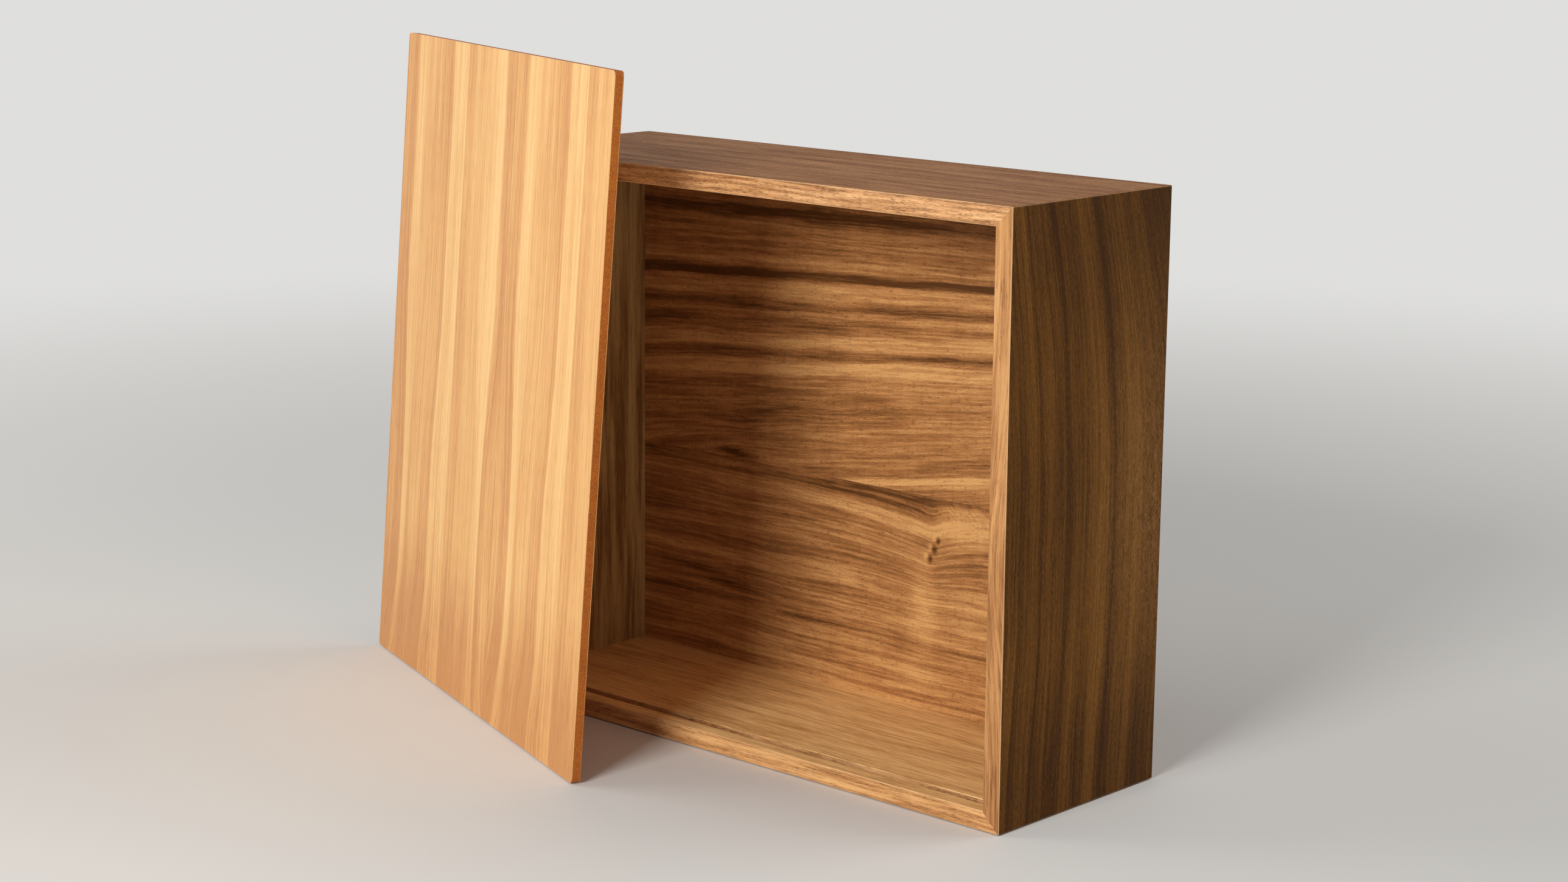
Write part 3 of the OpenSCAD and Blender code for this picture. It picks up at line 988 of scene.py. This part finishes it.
def figured_veneer(name, seed):
    """Wild walnut with a knot, in two leaves with a level joint."""
    made, tree, shader = start_material(name)
    x, z = on_sheet(tree, X, Z, (0, 0, 0))
    is_upper = calc(tree, "GREATER_THAN", z, JOINT_HEIGHT)
    is_lower = inverse(tree, is_upper)
    grown = between(tree, is_upper, lower_leaf(tree, x, z), upper_leaf(tree, x, z))
    leaf_seed = adjust(tree, seed, is_upper, LEAF_APART)
    figure = group(tree, sliced_figure, Sheet=join(tree, x, grown, leaf_seed), Band_Width=9.0, Line_Width=1.5,
                   Wander=1.2, Wander_Length=75.0, Seed=seed)

    pushed = split(tree, figure["Pushed Sheet"])[1]
    crowned = calc(tree, "GREATER_THAN", pushed, CROWN_HEIGHT)
    lower_tone, middle_tone, crown_tone_and_shadow = [
        stripes(tree, pushed, tones) for tones in (LOWER_TONES, UPPER_TONES, CROWN_TONES_AND_SHADOW)]
    upper_tone = between(tree, crowned, middle_tone, crown_tone_and_shadow)
    tone = between(tree, is_upper, lower_tone, upper_tone)
    tone = vary(tree, tone, figure["Band"], 0.0, 1.0, BAND_TONE)
    tone = wedge(tree, tone, x, grown, is_lower)
    tone = curly_patch(tree, tone, x, z, seed, is_lower)
    tone = slit_rims(tree, patches(tree, tone, x, z), x, z)
    tone = even_slope(tree, tone, 0.0, 1.0, -TONE_STRETCH, 1.0 + TONE_STRETCH)
    flecked = join(tree, calc(tree, "DIVIDE", x, FLECK_WIDE), calc(tree, "DIVIDE", grown, FLECK_HIGH), seed)
    tone = vary(tree, tone, noise(tree, flecked, detail=2.0, roughness=0.6), *NOISE_RANGE, FLECK_TONE)
    tone = adjust(tree, tone, knot_marks(tree, x, z), -KNOT_DARKER)

    pores = group(tree, open_pores, Pushed_Sheet=figure["Pushed Sheet"], Length=2.8, Width=0.2,
                  Crowding=0.6, Where=inverse(tree, tone))
    wood = walnut(tree, tone, figure, pores, (0.36, 0.36, 0.7), BACK_COLOURS)
    lacquered(tree, shader, wood["Color"], wood["Height"], roughness=0.42, coat=0.08, bump=0.4, rubbed_and_lit=0)
    return made


print("tones set by hand up the panel:", len(LOWER_TONES) + len(UPPER_TONES) + len(CROWN_TONES_AND_SHADOW))

# %% [markdown]
# ## Pressed fibre
#
# Round the lid's edge its core shows between the two veneers: fibres pressed with resin into an orange-brown
# board without grain. The back panel has the same core, which its grooves hide. A fine speckle and a dull
# surface are all it needs.

# %% Material: pressed fibre
SPECKS_PER_METRE = (1300, 1300, 1300)
PATCHES_PER_METRE = (90, 90, 90)
PATCH_TONE = 0.1
FIBRE_DARK = linear("8c4715")
FIBRE_PALE = linear("c87226")


def pressed_fibre(name):
    """Orange-brown fibreboard with a fine speckle."""
    made, tree, shader = start_material(name)
    spot = add(tree, "TexCoord").outputs["Object"]
    fine = add(tree, "VectorMath", {0: spot, 1: SPECKS_PER_METRE}, operation="MULTIPLY").outputs[0]
    broad = add(tree, "VectorMath", {0: spot, 1: PATCHES_PER_METRE}, operation="MULTIPLY").outputs[0]
    speck = noise(tree, fine, detail=3.0, roughness=0.7)
    amount = smooth_step(tree, speck, 0.2, 0.8)
    amount = vary(tree, amount, noise(tree, broad, detail=2.0, roughness=0.5), *NOISE_RANGE, PATCH_TONE)
    amount.node.use_clamp = True
    colour = blend(tree, amount, FIBRE_DARK, FIBRE_PALE)
    lacquered(tree, shader, colour, speck, roughness=0.6, coat=0.05, bump=0.3, rubbed_and_lit=0)
    return made


fibre_material = pressed_fibre("pressed_fibre")
print("made", fibre_material.name)

# %% [markdown]
# ## Dressing the boards
#
# Every piece now gets its sheet. The edge strips are tan and full of pores, with the grain along each strip,
# so at the mitred corners the direction turns by a right angle and the joint shows by itself. The boards'
# cores are plain tan wood, which shows only as the walls of the grooves. Most sheets differ only in a few
# numbers, so these are kept in short lists of looks.

# %% The looks of the four boards
GRAIN = {"top": (X, Y, Z), "bottom": (X, Y, Z), "right": (Z, Y, X), "left": (Z, Y, X)}
STRIPS = {
    "top": dict(colour=linear("d39d69"), crowding=0.8),
    "bottom": dict(colour=linear("d39c63"), crowding=0.4),
    "right": dict(colour=linear("b8824e"), crowding=0.1, arch=7, rise=0.22),
    "left": dict(colour=linear("c6925e"), crowding=0.2, arch=6, rise=0.1),
}
INSIDES = {
    "top": dict(colour=linear("b98350"), contrast=0.3),
    # The inside bottom is paler than the other inside sheets: partly a paler sheet, partly painted light
    # standing in for light falling into the box.
    "bottom": dict(colour=linear("f2c281"), contrast=0.28),
    "right": dict(colour=linear("c48d58"), contrast=0.3),
    # The inside left sheet is shifted a little towards olive, a painted shade tint for the shade it lies in.
    "left": dict(colour=linear("b4925c"), contrast=0.8),
}
CORE_LOOK = dict(colour=linear("cc9a66"), width=4.0, contrast=0.3, lines=0.4, crowding=0.6)
STRIP_LOOK = dict(width=5.0, contrast=0.3, lines=0.44, pore_size=(3.4, 0.2), pore_depth=0.7, rubbed_and_lit=0.5)
INSIDE_LOOK = dict(width=8.0, lines=0.3, fibres=0.7, crowding=0.3, pore_depth=0.25)
OUTER = linear("a57145")
OUTSIDE_LOOK = dict(colour=OUTER, width=9.0, contrast=0.44, fibres=0.4, crowding=1.0, pore_size=(2.6, 0.22),
                    pore_depth=0.45, gloss=0.02, coat=0)
REAR_LOOK = dict(colour=OUTER, width=14.0, contrast=0.7)
EDGE_STAIN = linear("a55f20")
SEEDS = {"core": (3.0, 1.7), "strip": (11.0, 2.7), "inside": (31.0, 3.1), "outside": (51.0, 4.3)}
REAR_STRIP_STEP = 0.9
print("looks for", len(STRIPS), "strips and", len(INSIDES), "inside sheets")


# %% Dress the box
def dress(node, material):
    """Gives a piece of the frame its material."""
    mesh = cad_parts[node].data
    mesh.materials.clear()
    mesh.materials.append(material)


def seed_for(kind, number):
    """A seed for each sheet of a kind, so that no two boards show the same figure."""
    first, step = SEEDS[kind]
    return first + step * number


for number, (side, (along, across, out)) in enumerate(GRAIN.items()):
    dress(f"{side}_core", plain_veneer(
        f"{side}_inner_wood", along, (across + out) / 2, seed_for("core", number), **CORE_LOOK))
    for row, rim in enumerate(("front", "rear")):
        dress(f"{side}_{rim}_band", plain_veneer(
            f"{side}_{rim}_strip", along, out, seed_for("strip", number) + REAR_STRIP_STEP * row,
            **STRIP_LOOK, **STRIPS[side]))
    dress(f"{side}_inner_veneer", plain_veneer(
        f"{side}_inside", along, across, seed_for("inside", number), **INSIDE_LOOK, **INSIDES[side]))
for number, side in enumerate(("top", "bottom")):
    dress(f"{side}_outer_veneer", plain_veneer(
        f"{side}_outside", X, Y, seed_for("outside", number), **OUTSIDE_LOOK))
dress("right_outer_veneer", side_veneer("right_outside", 3.0, mirrored=False))
dress("left_outer_veneer", side_veneer("left_outside", 8.0, mirrored=True))
print("box materials", len(bpy.data.materials))

# %% Dress the back panel and the lid
dress("back_core", fibre_material)
dress("back_inner_veneer", figured_veneer("back_figured", 4.0))
dress("back_rear_veneer", plain_veneer("back_outside", X, Z, 71.0, **REAR_LOOK))
dress("lid_core", fibre_material)
dress("lid_face_veneer", lid_veneer("lid_face", 6.0))
dress("lid_back_veneer", lid_veneer("lid_back", 9.0, arris_colour=EDGE_STAIN))
bare = [name for name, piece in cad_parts.items() if not piece.data.materials[0].node_tree]
print("pieces without a worked material:", bare)
